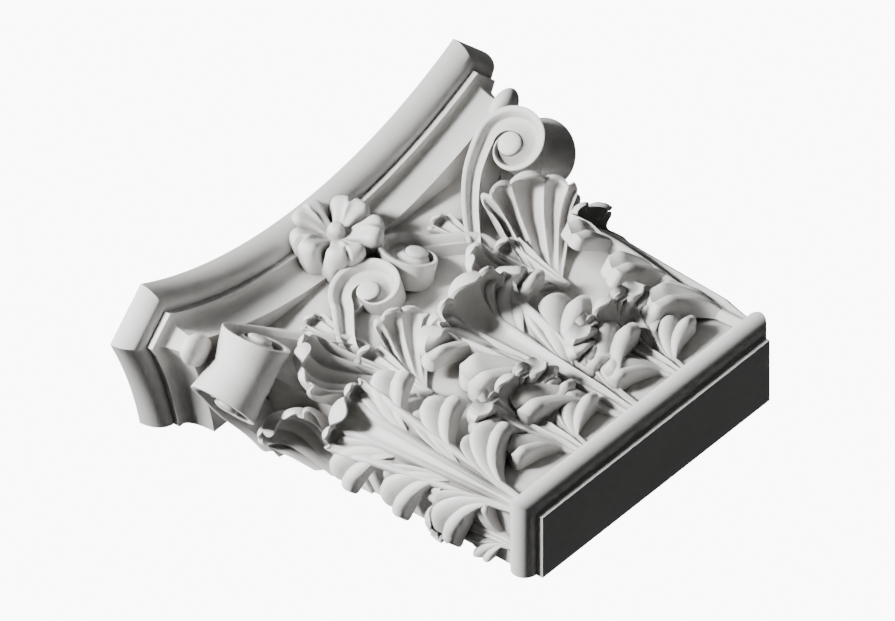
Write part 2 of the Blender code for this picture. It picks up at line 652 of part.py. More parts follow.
def main():
    """Unite all shells, cut the back flat and thin out the faces.

    The exact solver leaves loose slivers where thin leaf shells cross, so both Booleans use the
    manifold one, which every shell allows: all are closed and in flat triangles.
    """
    clear_scene()
    parts = make_collection("pilaster_capital")
    shells = make_collection("carving_shells")
    cutters = make_collection("cutters")
    base = neck_and_bell(shells)
    abacus(shells)
    rosette(shells)
    for hand in (-1, 1):
        corner_volute(hand, shells)
        helix(hand, shells)
        horn_tongue(hand, shells)
    all_leaves(shells)
    all_calyxes(shells)
    capital = bpy.data.objects.new("capital", base.data.copy())
    parts.objects.link(capital)
    bpy.data.objects.remove(base, do_unlink=True)
    capital.data.materials.append(plaster())
    join = capital.modifiers.new("Carving", "BOOLEAN")
    join.operation = "UNION"
    join.solver = "MANIFOLD"
    join.operand_type = "COLLECTION"
    join.collection = shells
    trim = capital.modifiers.new("Wall", "BOOLEAN")
    trim.operation = "DIFFERENCE"
    trim.solver = "MANIFOLD"
    trim.object = wall_block(cutters)
    thin = capital.modifiers.new("Fewer_faces", "DECIMATE")
    thin.decimate_type = "COLLAPSE"
    thin.ratio = FACES_KEPT_SHARE


main()
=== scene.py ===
"""Looks of the pilaster capital: its fine carving, the white plaster, the studio and the camera."""

import math
from typing import NamedTuple

import bmesh
import bpy
import numpy as np
from mathutils import Matrix, Vector


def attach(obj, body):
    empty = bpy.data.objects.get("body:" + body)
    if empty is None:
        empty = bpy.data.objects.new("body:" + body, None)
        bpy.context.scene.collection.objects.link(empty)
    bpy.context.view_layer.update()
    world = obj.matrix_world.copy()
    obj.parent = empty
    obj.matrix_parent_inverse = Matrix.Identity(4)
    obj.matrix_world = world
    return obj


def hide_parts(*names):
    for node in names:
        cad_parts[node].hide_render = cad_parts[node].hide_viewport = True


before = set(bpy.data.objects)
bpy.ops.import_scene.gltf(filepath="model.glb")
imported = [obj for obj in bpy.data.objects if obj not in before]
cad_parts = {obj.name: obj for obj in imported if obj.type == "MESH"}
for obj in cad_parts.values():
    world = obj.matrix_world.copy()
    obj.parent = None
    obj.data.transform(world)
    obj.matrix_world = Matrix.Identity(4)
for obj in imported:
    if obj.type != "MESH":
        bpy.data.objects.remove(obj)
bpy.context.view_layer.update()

# The same sizes as the solid, in metres. Neck, bell and whole
NECK_WIDTH = 0.250
NECK_DEPTH = 0.0548
SLAB_HEIGHT = 0.0059
ASTRAGAL_RADIUS = 0.0102
BELL_PROUD = 0.0024
OVERALL_HEIGHT = 0.3246

# Abacus, with its mouldings from the top down
ABACUS_SWEEP_RADIUS = 0.380
ABACUS_MIDDLE_DEPTH = 0.0852
ABACUS_HORN_HALF_WIDTH = 0.1722
ABACUS_CORNER_SHIFT = 0.0795
OVOLO_HEIGHT = 0.0190
OVOLO_INSET = 0.0140
FILLET_HEIGHT = 0.0052
STEP_INSET = 0.0038
CAVETTO_HEIGHT = 0.0222
CAVETTO_INSET = 0.0073

# Rosette
ROSETTE_RADIUS = 0.0348
ROSETTE_FRONT = 0.0895
ROSETTE_BELOW_TOP = 0.0354
ROSETTE_PETALS = 5

# Corner volutes, and the tongues between them and the horns. Centres are (x, distance from the wall, z)
VOLUTE_BELOW_TOP = 0.0794
VOLUTE_CENTRE = (0.1563, 0.0767, OVERALL_HEIGHT - VOLUTE_BELOW_TOP)
VOLUTE_RADIUS = 0.0286
VOLUTE_EYE_RADIUS = 0.0091
VOLUTE_HALF_LENGTH = 0.0272
VOLUTE_WAIST = 0.0036
VOLUTE_TURN = math.radians(400)
VOLUTE_START = math.radians(105)
VOLUTE_CLOSING = 1.7
VOLUTE_STEM_WIDTH = 0.0190
VOLUTE_STEM_DEPTH = 0.0160
VOLUTE_FACE_TURN = math.radians(35)
VOLUTE_OVERLAP = 0.0058
TONGUE_BELOW_TOP = 0.0476
TONGUE_CENTRE = (0.1690, 0.0890, OVERALL_HEIGHT - TONGUE_BELOW_TOP)
TONGUE_SIZE = (0.0165, 0.0120, 0.0085)

# Inner scrolls
HELIX_BELOW_TOP = 0.0864
HELIX_CENTRE = (0.0272, 0.0725, OVERALL_HEIGHT - HELIX_BELOW_TOP)
HELIX_RADIUS = 0.0286
HELIX_EYE_RADIUS = 0.0085
HELIX_DEPTH = 0.0200
HELIX_TURN = math.radians(340)
HELIX_START = math.radians(150)
HELIX_CLOSING = 1.9
HELIX_TILT = math.radians(18)
HELIX_STEM_WIDTH = 0.0160
HELIX_STEM_DEPTH = 0.0120

# Stems of both kinds of scroll, which part from one foot
STEM_FOOT = (0.0700, 0.0560, 0.1960)
STEM_FOOT_SPREAD_SHARE = 0.14
VOLUTE_STEM_PATH = ((0.0600, 0.0610, 0.2160), (0.0700, 0.0650, 0.2300), (0.0900, 0.0700, 0.2500),
                    (0.1100, 0.0790, 0.2650))
HELIX_STEM_PATH = ((0.0820, 0.0600, 0.2080), (0.0765, 0.0650, 0.2260))

# Form that all leaves share
LEAF_THICKNESS = 0.0040
ROOT_DEPTH = 0.0040
FOOT_SUNK = 0.0060
BLADE_PROUD = 0.0030
LIP_SHARE = 0.60
LOBE_ROOT_DROP_SHARE = 0.16
LOBE_FREE_SHARE = 0.60
LEAN_AT_FOOT = math.radians(2)
BEND = math.radians(78)
BEND_POWER = 1.3
CURL_FROM_SHARE = 0.86
CURL = math.radians(112)
LEAF_LIP_END_SHARE = 0.80
CORNER_LIP_END_SHARE = 0.82
CALYX_LIP_END_SHARE = 0.76

# How finely each kind of surface is drawn: across and along a leaf, and around or along the rest
BLADE_STEPS = (56, 32)
CALYX_STEPS = (40, 24)
SMALL_STEPS = (24, 14)
LOBE_STEPS = (24, 15)
ROWS_TOWARDS_LIP = 0.72
SPINE_STEPS = 90
STEM_STEPS = 26
SCROLL_STEPS = 76
EYE_STEPS = 40
ARC_STEPS = 48
ASTRAGAL_STEPS = 28
MOULDING_STEPS = 12
STEPS_PER_PETAL = 32
TONGUE_STEPS = (36, 20)
HALVINGS = 40
SPINE_HALVINGS = 20
SHARP_ABOVE = math.radians(38)

# Points nearer than MERGE are one, and what lies within FLAT of the back is flat. Ends that meet the back
# inside another shape stop BACK_RECESS short of it
MERGE = 0.00001
FLAT = 0.000001
BACK_RECESS = 0.0005

# How bright the backdrop looks, and how much light it gives
BACKDROP_STRENGTH = 10.0
AMBIENT_STRENGTH = 0.03

# Soft lights: the way from the capital, the distance, the size and the power
SOFT_LIGHTS = {"key": ((-0.60, -0.52, 0.50), 2.2, 0.40, 16.5),
               "fill": ((0.9, -0.5, 0.8), 2.4, 1.6, 1.2),
               "back": ((0.35, 1.0, 0.45), 2.4, 1.2, 6.5)}
LIGHT_SPREAD = math.radians(60)
LIT_POINT = Vector((0, -0.03, 0.16))

# The floor lies far down, because the camera looks up at the underside
FLOOR_HALF = 5.0
FLOOR_Z = -3.2

# The photo's parallel projection: its right, its up and the way back to the camera, its width, and how far
# its middle lies right of and above the middle of the back's lower edge
PHOTO_RIGHT = Vector((0.6343, 0, -0.7731))
PHOTO_UP = Vector((0.4973, -0.7657, 0.4080))
PHOTO_BACK = Vector((-0.5920, -0.6433, -0.4857))
PHOTO_WIDTH = 0.62516
PHOTO_MIDDLE_RIGHT = -0.14578
PHOTO_MIDDLE_UP = 0.12486
CAMERA_DISTANCE = 1.1

# Values worked out from the sizes above
BACK_Y = NECK_DEPTH / 2
HALF_NECK = NECK_WIDTH / 2
NECK_TOP = SLAB_HEIGHT + 2 * ASTRAGAL_RADIUS
ABACUS_UNDERSIDE = OVERALL_HEIGHT - OVOLO_HEIGHT - FILLET_HEIGHT - CAVETTO_HEIGHT
BELL_FACE = NECK_DEPTH + BELL_PROUD
HALF_BELL = HALF_NECK + BELL_PROUD
SQUARE = math.sqrt(0.5)
UP = Vector((0, 0, 1))
FRONT = Vector((0, -1, 0))


class LeafKind(NamedTuple):
    """Sizes of one kind of leaf. A kind without lobes is fluted all over, as the calyx leaves are.

    The wrap is the slope at which a corner leaf's halves turn back, and the rib's height is a share of
    the half width.
    """
    half_width: float
    height: float
    reach: float
    lobes: int = 0
    wrap: float = 0.0
    lip_end: float = CALYX_LIP_END_SHARE
    rib: float = 0.0
    teeth: int = 3
    steps: tuple = SMALL_STEPS


LOWER_LEAF_X = 0.0538
SIDE_LEAF_PLACE = 0.0210
LOWER_LEAF = LeafKind(0.0450, 0.0690, 0.0300, 3, 0.0, LEAF_LIP_END_SHARE, 0.055, 5, BLADE_STEPS)
SIDE_LEAF = LeafKind(0.0300, 0.0620, 0.0200, 2, 0.0, LEAF_LIP_END_SHARE, 0.03, 3, CALYX_STEPS)
MIDDLE_LEAF = LeafKind(0.0630, 0.1530, 0.0440, 3, 0.0, LEAF_LIP_END_SHARE, 0.055, 5, BLADE_STEPS)
CORNER_LEAF = LeafKind(0.0470, 0.1500, 0.0250, 3, 0.9, CORNER_LIP_END_SHARE, 0.10, 5, BLADE_STEPS)

CALYX_FOOT = (0.0720, 0.0570, 0.1560)
OUTER_CALYX = LeafKind(0.0580, 0.0850, 0.0340, teeth=5, steps=BLADE_STEPS)
OUTER_CALYX_LEAN = math.radians(40)
INNER_CALYX = LeafKind(0.0350, 0.0570, 0.0280, teeth=4, steps=CALYX_STEPS)
INNER_CALYX_LEAN = math.radians(-38)
STALK_LEAF_FOOT = (0.0760, 0.0575, 0.1480)
STALK_LEAF = LeafKind(0.0230, 0.0560, 0.0130)
FORK_LEAF_FOOT = (0.0700, 0.0570, 0.2150)
FORK_LEAF = LeafKind(0.0190, 0.0430, 0.0100)


def place(x, n, z):
    """World place of a point given by its distance n out from the wall plane."""
    return Vector((x, BACK_Y - n, z))


def ease(low, high, value):
    """Smooth step from 0 at low to 1 at high."""
    t = min(1.0, max(0.0, (value - low) / (high - low)))
    return t * t * (3 - 2 * t)


def hump(offset, width):
    """Smooth hump of height 1, which falls away on both sides of offset 0."""
    return math.exp(-(offset / width) ** 2)


def bow(start, middle, end, v):
    """Quadratic Bezier curve from start to end, drawn towards middle."""
    return start * (1 - v) ** 2 + 2 * middle * v * (1 - v) + end * v * v


class Carving:
    """One mesh that all the closed shells are gathered in."""

    def __init__(self):
        self.bm = bmesh.new()

    def take(self, shell):
        """Adds a shell. One that runs through the flat back is first cut off just short of it."""
        bmesh.ops.remove_doubles(shell, verts=shell.verts, dist=MERGE)
        if max(v.co.y for v in shell.verts) > BACK_Y + FLAT:
            cut = bmesh.ops.bisect_plane(shell, geom=shell.verts[:] + shell.edges[:] + shell.faces[:],
                                         plane_co=(0, BACK_Y - BACK_RECESS, 0), plane_no=(0, 1, 0),
                                         clear_outer=True)
            edges = [e for e in cut["geom_cut"] if isinstance(e, bmesh.types.BMEdge)]
            bmesh.ops.holes_fill(shell, edges=edges, sides=0)
        bmesh.ops.recalc_face_normals(shell, faces=shell.faces)
        mesh = bpy.data.meshes.new("shell")
        shell.to_mesh(mesh)
        shell.free()
        self.bm.from_mesh(mesh)
        bpy.data.meshes.remove(mesh)

    def finish(self, name, material):
        bmesh.ops.triangulate(self.bm, faces=self.bm.faces)
        mesh = bpy.data.meshes.new(name)
        self.bm.to_mesh(mesh)
        self.bm.free()
        mesh.shade_smooth()
        mesh.set_sharp_from_angle(angle=SHARP_ABOVE)
        mesh.materials.append(material)
        item = bpy.data.objects.new(name, mesh)
        bpy.context.scene.collection.objects.link(item)
        return item


def loft(carving, rings):
    """Closed solid through rings that all have the same number of points."""
    bm = bmesh.new()
    rows = [[bm.verts.new(point) for point in ring] for ring in rings]
    count = len(rows[0])
    for low, high in zip(rows, rows[1:]):
        for i in range(count):
            j = (i + 1) % count
            bm.faces.new((low[i], low[j], high[j], high[i]))
    bm.faces.new(rows[0][::-1])
    bm.faces.new(rows[-1])
    carving.take(bm)


def sheet(carving, surface, steps):
    """Thick sheet between surface(u, v, False) and the smoother surface(u, v, True) behind it."""
    across, along = steps
    bm = bmesh.new()
    faces = []
    for behind in (False, True):
        rows = []
        for j in range(along + 1):
            v = (j / along) ** ROWS_TOWARDS_LIP
            rows.append([bm.verts.new(surface(i / across, v, behind)) for i in range(across + 1)])
        faces.append(rows)
        for low, high in zip(rows, rows[1:]):
            for i in range(across):
                bm.faces.new((low[i], low[i + 1], high[i + 1], high[i]))
    front, back = faces
    for a, b in ((front[0], back[0]), (front[-1], back[-1])):
        for i in range(across):
            bm.faces.new((a[i], a[i + 1], b[i + 1], b[i]))
    for i in (0, -1):
        for j in range(along):
            bm.faces.new((front[j][i], front[j + 1][i], back[j + 1][i], back[j][i]))
    carving.take(bm)


def neck_and_bell(carving):
    """Slab, astragal and bell. The bell's top is hidden in the abacus, and stops short of the back there."""
    def outline(offset, z, recess=0.0):
        half = HALF_NECK + offset
        depth = NECK_DEPTH + offset
        return [place(x, n, z) for x, n in ((-half, recess), (-half, depth), (half, depth), (half, recess))]

    middle = SLAB_HEIGHT + ASTRAGAL_RADIUS
    rings = [outline(0, 0), outline(0, SLAB_HEIGHT)]
    for step in range(1, ASTRAGAL_STEPS):
        angle = math.pi * step / ASTRAGAL_STEPS
        rings.append(outline(ASTRAGAL_RADIUS * math.sin(angle), middle - ASTRAGAL_RADIUS * math.cos(angle)))
    rings.append(outline(BELL_PROUD, NECK_TOP))
    rings.append(outline(BELL_PROUD, ABACUS_UNDERSIDE))
    rings.append(outline(BELL_PROUD, ABACUS_UNDERSIDE + BACK_RECESS, BACK_RECESS))
    rings.append(outline(BELL_PROUD, ABACUS_UNDERSIDE + CAVETTO_HEIGHT / 2, BACK_RECESS))
    loft(carving, rings)


def abacus_outline(inset, z):
    """Plan of the abacus at one inset: side arc, cut horn, front arc, horn and side arc again."""
    centre = ABACUS_MIDDLE_DEPTH + ABACUS_SWEEP_RADIUS
    radius = ABACUS_SWEEP_RADIUS + inset
    horn_depth = centre - math.sqrt(ABACUS_SWEEP_RADIUS ** 2 - ABACUS_HORN_HALF_WIDTH ** 2)
    cut = ABACUS_HORN_HALF_WIDTH + horn_depth - inset / SQUARE

    def arc_depth(x):
        return centre - math.sqrt(radius ** 2 - x ** 2)

    low, high = 0.0, cut
    for _ in range(HALVINGS):
        middle = (low + high) / 2
        if middle + arc_depth(middle) < cut:
            low = middle
        else:
            high = middle
    tip = low
    front = [tip * (2 * i / ARC_STEPS - 1) for i in range(ARC_STEPS + 1)]
    front = [(x, arc_depth(x)) for x in front]
    side = []
    for i in range(ARC_STEPS // 2 + 1):
        along = tip + (ABACUS_CORNER_SHIFT - tip) * i / (ARC_STEPS // 2)
        side.append((arc_depth(along) + ABACUS_CORNER_SHIFT, along - ABACUS_CORNER_SHIFT))
    left = [(-x, n) for x, n in reversed(side)]
    return [place(x, n, z) for x, n in left + front + side]


def abacus(carving):
    """Ovolo, fillet, step and cavetto, from the top down."""
    rings = []
    for step in range(MOULDING_STEPS + 1):
        angle = math.pi / 2 * step / MOULDING_STEPS
        inset = OVOLO_INSET * (1 - math.cos(angle))
        rings.append(abacus_outline(inset, OVERALL_HEIGHT - OVOLO_HEIGHT * math.sin(angle)))
    z = OVERALL_HEIGHT - OVOLO_HEIGHT - FILLET_HEIGHT
    rings.append(abacus_outline(OVOLO_INSET, z))
    rings.append(abacus_outline(OVOLO_INSET + STEP_INSET, z))
    for step in range(1, MOULDING_STEPS + 1):
        angle = math.pi / 2 * step / MOULDING_STEPS
        inset = OVOLO_INSET + STEP_INSET + CAVETTO_INSET * math.sin(angle)
        rings.append(abacus_outline(inset, z - CAVETTO_HEIGHT * (1 - math.cos(angle))))
    loft(carving, rings)


# Rosette from its hidden back, over the petals' rim and in to the button: (share of the radius, metres
# behind the front)
ROSETTE_PROFILE = ((0.80, 0.0395), (0.86, 0.0300), (0.93, 0.0180), (0.975, 0.0105), (0.985, 0.0070),
                   (0.965, 0.0040), (0.92, 0.0018), (0.85, 0.0006), (0.77, 0.0010), (0.68, 0.0022),
                   (0.59, 0.0036), (0.50, 0.0050), (0.42, 0.0064), (0.35, 0.0078), (0.29, 0.0090),
                   (0.24, 0.0100), (0.205, 0.0104), (0.190, 0.0092), (0.182, 0.0066), (0.160, 0.0044),
                   (0.12, 0.0028), (0.06, 0.0020))
PLAIN_BEHIND = 0.035
# Around a petal: widths as shares of it, cuts into its outline as shares of the reach, and depths in metres
PETAL_GAP_WIDTH, PETAL_GAP_CUT, PETAL_GAP_DEPTH = 0.20, 0.06, 0.0110
PETAL_HOLLOW_WIDTH, PETAL_HOLLOW_CUT, PETAL_HOLLOW_DEPTH = 0.42, 0.17, 0.0035
PETAL_NOTCH_WIDTH, PETAL_NOTCH_CUT, PETAL_NOTCH_DEPTH = 0.13, 0.075, 0.0030
PETAL_SWELL_WIDTH, PETAL_SWELL_HEIGHT = 0.22, 0.0022
# Shares of the radius between which the petals part, and between which their rim begins
PETALS_PART = (0.24, 0.60)
PETALS_RIM = (0.62, 0.92)
# Flutes on the rosette's wall: where they begin, how soon they are full, how many and how deep
WALL_FLUTES_FROM, WALL_FLUTES_FULL, WALL_FLUTES_PER_PETAL, WALL_FLUTES_SHARE = 0.004, 0.02, 4, 0.012


def rosette(carving):
    """Flower of heart-shaped petals round a button, on thick fluted walls."""
    z0 = OVERALL_HEIGHT - ROSETTE_BELOW_TOP
    steps = ROSETTE_PETALS * STEPS_PER_PETAL
    rings = []
    for share, back in ROSETTE_PROFILE:
        part = ease(*PETALS_PART, share)
        rim = ease(*PETALS_RIM, share)
        fluted = WALL_FLUTES_SHARE * ease(0.0, WALL_FLUTES_FULL, back - WALL_FLUTES_FROM)
        ring = []
        for i in range(steps):
            angle = 2 * math.pi * i / steps
            from_gap = abs(math.cos(ROSETTE_PETALS * angle / 2))
            from_middle = abs(math.sin(ROSETTE_PETALS * angle / 2))
            gap = hump(from_gap, PETAL_GAP_WIDTH)
            hollow = hump(from_gap, PETAL_HOLLOW_WIDTH)
            notch = hump(from_middle, PETAL_NOTCH_WIDTH)
            swell = hump(from_middle, PETAL_SWELL_WIDTH)
            cut = rim * (PETAL_HOLLOW_CUT * hollow + PETAL_GAP_CUT * gap + PETAL_NOTCH_CUT * notch)
            flute = fluted * math.cos(ROSETTE_PETALS * WALL_FLUTES_PER_PETAL * angle)
            reach = share * (1 - cut + flute)
            fall = part * (PETAL_GAP_DEPTH * gap + PETAL_HOLLOW_DEPTH * hollow - PETAL_SWELL_HEIGHT * swell
                           * (1 - rim)) + rim * PETAL_NOTCH_DEPTH * notch
            if back > PLAIN_BEHIND:
                fall = 0
            x = ROSETTE_RADIUS * reach * math.sin(angle)
            z = z0 + ROSETTE_RADIUS * reach * math.cos(angle)
            ring.append(place(x, ROSETTE_FRONT - back - fall, z))
        rings.append(ring)
    loft(carving, rings)


# Section of a scroll's band. The rim and the channel are shares of the scroll's radius. The hollow is
# (share of the channel's depth, share of the width inside the rim), and the back (share of the band's
# depth, share of its waist)
RIM_SHARE = 0.13
CHANNEL_SHARE = 0.22
RIM_ARRIS = (0.0004, 0.0005)
RIM_TOP_SHARE = 0.85
RIM_FALL_SHARE = 0.05
BAND_HOLLOW = ((0.16, 0.05), (0.60, 0.13), (0.92, 0.22), (1.0, 0.34), (0.93, 0.50), (0.76, 0.68),
               (0.52, 0.85), (0.30, 1.0))
BAND_BACK = ((0.80, 0.95), (0.55, 0.75), (0.30, 0.42), (0.10, 0.12))
# Size of the end of a band that is hidden inside the next one, as a share of its full section
HIDDEN_END_SHARE = 0.94
# A band's width: where it ends against the next turn, where the stem ends in it, and its least in rims
BAND_FILL_SHARE = 0.98
MOUTH_SHARE = 0.85
LEAST_WIDTH_IN_RIMS = 1.2
LEAST_EXTENT_IN_RIMS = 2.0
SLIM_RIM_SHARE = 0.3
WAIST_LIMIT_SHARE = 0.7
# Shares of the full size that a stem has at its foot
STEM_WIDTH_AT_FOOT = 0.45
STEM_RIM_AT_FOOT = 0.6
STEM_CHANNEL_AT_FOOT = 0.3
# The band turns a little further than the scroll, and is full within BAND_GROWS_OVER of its start
BAND_TURN_SHARE = 1.12
BAND_GROWS_OVER = 1.8
PATH_LOOKS_AHEAD = 0.5
# Floor of the channel
FLOOR_START = math.radians(-30)
FLOOR_UNDER_BAND_SHARE = 0.45
FLOOR_DEPTH_SHARE = 0.97
# Eye: (share of its radius, height as a share of its radius), on a foot sunk in the channel
EYE_FOOT_SHARE = 0.97
EYE_SUNK_IN_CHANNELS = 1.5
EYE_DOME = ((0.97, -0.04), (0.93, 0.03), (0.84, 0.09), (0.66, 0.15), (0.36, 0.19), (0.08, 0.20))


def scroll_radius(turned, radius, eye, turn, closing):
    """Radius of the scroll's outer edge after the given angle: it closes in on the eye."""
    share = min(1.0, turned / turn)
    return eye + (radius - eye) * math.cos(math.pi / 2 * share ** closing) ** 2


def smooth_path(points, beyond, count):
    """Catmull-Rom curve through the points, at count + 1 places, which heads for beyond at its end."""
    knots = [2 * points[0] - points[1]] + list(points) + [beyond]
    spans = len(points) - 1
    path = []
    for i in range(count + 1):
        along = spans * i / count
        k = min(int(along), spans - 1)
        t = along - k
        a, b, c, d = knots[k:k + 4]
        path.append(0.5 * (2 * b + (c - a) * t + (2 * a - 5 * b + 4 * c - d) * t * t
                           + (3 * b - a - 3 * c + d) * t ** 3))
    return path


def scroll_band(carving, stations, hidden_end):
    """Sweep of a band with a raised rim and a hollow that rises again towards the next turn.

    Each station is rim point, inward way, axis, width, rim, channel, depth and waist.
    """
    rings = []
    for rim_point, inward, axis, width, rim, channel, depth, waist in stations:
        span = width - rim
        section = [(RIM_ARRIS[0], 0), (0, RIM_ARRIS[1]), (0, rim * RIM_TOP_SHARE),
                   (channel * RIM_FALL_SHARE, rim)]
        section += [(channel * d, rim + span * s) for d, s in BAND_HOLLOW]
        section += [(depth, width), (depth, waist)]
        section += [(depth * d, waist * s) for d, s in BAND_BACK]
        rings.append([rim_point - axis * back + inward * across for back, across in section])
    ring = rings[hidden_end]
    middle = sum(ring, Vector()) / len(ring)
    rings[hidden_end] = [middle + (point - middle) * HIDDEN_END_SHARE for point in ring]
    loft(carving, rings)


def scroll(carving, centre, side, axis, radius, eye, turn, closing, start, depth, waist, stem, stem_width,
           foot_axis, foot_depth):
    """A scroll and its stem: the band, the sunk floor of the channel and the raised eye.

    The scroll lies in the plane of side and UP, its face looks along axis, and it turns from the start
    angle over the top towards side. The stem's points lead to the start from its foot.
    """
    rim = radius * RIM_SHARE
    channel = radius * CHANNEL_SHARE

    def grown(at_foot, share):
        return at_foot + (1 - at_foot) * share

    def edge(turned, inset=0.0):
        angle = start - turned
        reach = scroll_radius(max(0.0, turned), radius, eye, turn, closing) - inset
        return centre + reach * (math.cos(angle) * side + math.sin(angle) * UP)

    def width_at(turned):
        outer = scroll_radius(turned, radius, eye, turn, closing)
        inner = scroll_radius(turned + 2 * math.pi, radius, eye, turn, closing)
        return max(outer - inner, rim * LEAST_WIDTH_IN_RIMS)

    mouth = min(stem_width, width_at(0.0) * MOUTH_SHARE)
    stations = []
    path = smooth_path([Vector(p) for p in stem] + [edge(0.0)], edge(PATH_LOOKS_AHEAD), STEM_STEPS)
    for i, point in enumerate(path[:-1]):
        share = i / (len(path) - 1)
        ahead = path[i + 1] - path[max(0, i - 1)]
        way = foot_axis.lerp(axis, share).normalized()
        inward = way.cross(ahead).normalized()
        if inward.dot(centre - point) < 0:
            inward.negate()
        stations.append((point, inward, way, mouth * grown(STEM_WIDTH_AT_FOOT, share),
                         rim * grown(STEM_RIM_AT_FOOT, share), channel * grown(STEM_CHANNEL_AT_FOOT, share),
                         foot_depth + (depth - foot_depth) * share, waist * share))
    for i in range(SCROLL_STEPS + 1):
        turned = turn * BAND_TURN_SHARE * i / SCROLL_STEPS
        width = width_at(turned)
        slim = min(rim, width * SLIM_RIM_SHARE)
        full = width * BAND_FILL_SHARE
        blend = ease(0, BAND_GROWS_OVER, turned)
        extent = max(full * blend + min(mouth, full) * (1 - blend), slim * LEAST_EXTENT_IN_RIMS)
        point = edge(turned)
        stations.append((point, (centre - point).normalized(), axis, extent, slim, channel, depth,
                         min(waist, extent * WAIST_LIMIT_SHARE)))
    scroll_band(carving, stations[:len(path) + 1], -1)
    scroll_band(carving, stations[len(path) - 1:], 0)
    outline = []
    for i in range(SCROLL_STEPS):
        turned = FLOOR_START + 2 * math.pi * i / SCROLL_STEPS
        outline.append(edge(turned, width_at(max(0.0, turned)) * FLOOR_UNDER_BAND_SHARE))
    loft(carving, [[p - axis * channel for p in outline],
                   [p - axis * depth * FLOOR_DEPTH_SHARE for p in outline]])
    disc = []
    for i in range(EYE_STEPS):
        angle = 2 * math.pi * i / EYE_STEPS
        disc.append(math.cos(angle) * side + math.sin(angle) * UP)
    rings = [[centre + eye * EYE_FOOT_SHARE * p - axis * EYE_SUNK_IN_CHANNELS * channel for p in disc]]
    rings += [[centre + eye * share * p + axis * eye * out for p in disc] for share, out in EYE_DOME]
    loft(carving, rings)


def corner_volute(carving, hand):
    """Scroll on a corner: a front half and a side half, mirrored in the upright diagonal plane."""
    cx, cn, cz = VOLUTE_CENTRE
    shift = cx - cn
    side_gain = (cx - HALF_BELL) / (cn - BELL_FACE)
    stem = ((STEM_FOOT[0] * (1 - STEM_FOOT_SPREAD_SHARE), *STEM_FOOT[1:]), *VOLUTE_STEM_PATH)
    for half in (1, -1):
        def spot(x, n, z):
            if half < 0:
                x, n = HALF_BELL + (n - BELL_FACE) * side_gain, x - shift
            return place(hand * x, n, z)

        def way(dx, dn, dz):
            if half < 0:
                dx, dn = dn, dx
            return Vector((hand * dx, -dn, dz)).normalized()

        axis = way(-math.sin(VOLUTE_FACE_TURN), math.cos(VOLUTE_FACE_TURN), 0)
        sideways = way(math.cos(VOLUTE_FACE_TURN), math.sin(VOLUTE_FACE_TURN), 0)
        centre = spot(cx, cn, cz) + way(-1, 1, 0) * VOLUTE_HALF_LENGTH
        scroll(carving, centre, sideways, axis, VOLUTE_RADIUS, VOLUTE_EYE_RADIUS, VOLUTE_TURN,
               VOLUTE_CLOSING, VOLUTE_START, VOLUTE_HALF_LENGTH + VOLUTE_OVERLAP, VOLUTE_WAIST,
               [spot(*p) for p in stem], VOLUTE_STEM_WIDTH, way(0, 1, 0), VOLUTE_STEM_DEPTH)


def helix(carving, hand):
    """Inner scroll: its face is turned a little outwards, and its drum runs back into the bell."""
    cx, cn, cz = HELIX_CENTRE
    axis = Vector((hand * math.sin(HELIX_TILT), -math.cos(HELIX_TILT), 0))
    side = Vector((-hand * math.cos(HELIX_TILT), -math.sin(HELIX_TILT), 0))
    stem = ((STEM_FOOT[0] * (1 + STEM_FOOT_SPREAD_SHARE), *STEM_FOOT[1:]), *HELIX_STEM_PATH)
    stem = [place(hand * x, n, z) for x, n, z in stem]
    scroll(carving, place(hand * cx, cn, cz), side, axis, HELIX_RADIUS, HELIX_EYE_RADIUS, HELIX_TURN,
           HELIX_CLOSING, HELIX_START, HELIX_DEPTH, 0.0, stem, HELIX_STEM_WIDTH, FRONT, HELIX_STEM_DEPTH)


def spine_points(bend_from):
    """Side view of a leaf of length 1 that stands straight, bends out from bend_from and curls its lip."""
    outs, ups = [0.0], [0.0]
    for i in range(SPINE_STEPS):
        share = (i + 0.5) / SPINE_STEPS
        bent_share = min(1.0, max(0.0, (share - bend_from) / (CURL_FROM_SHARE - bend_from)))
        curled_share = max(0.0, (share - CURL_FROM_SHARE) / (1 - CURL_FROM_SHARE))
        lean = LEAN_AT_FOOT + BEND * bent_share ** BEND_POWER + CURL * curled_share
        outs.append(outs[-1] + math.sin(lean) / SPINE_STEPS)
        ups.append(ups[-1] + math.cos(lean) / SPINE_STEPS)
    return outs, ups


# The bend begins at least this far from the foot and from the curl, as a share of the leaf
BEND_MARGIN_SHARE = 0.05


def leaf_spine(height, reach):
    """Side view of a leaf: up along the bell, over the crest and down into the curled lip."""
    early, late = BEND_MARGIN_SHARE, CURL_FROM_SHARE - BEND_MARGIN_SHARE
    for _ in range(SPINE_HALVINGS):
        bend_from = (early + late) / 2
        outs, ups = spine_points(bend_from)
        if max(outs) / max(ups) > reach / height:
            early = bend_from
        else:
            late = bend_from
    outs = np.array(outs) * reach / max(outs)
    ups = np.array(ups) * height / max(ups)
    length = float(np.sum(np.hypot(np.diff(outs), np.diff(ups))))
    return outs, ups, length


class Fold(NamedTuple):
    """Line along both halves of a blade: its place between middle (0) and edge (1), and where it runs."""
    middle: float
    width: float
    rises: tuple
    falls: tuple

    def share(self, across_share, v):
        run = ease(*self.rises, v) * (1 - ease(*self.falls, v))
        return hump(across_share - self.middle, self.width) * run


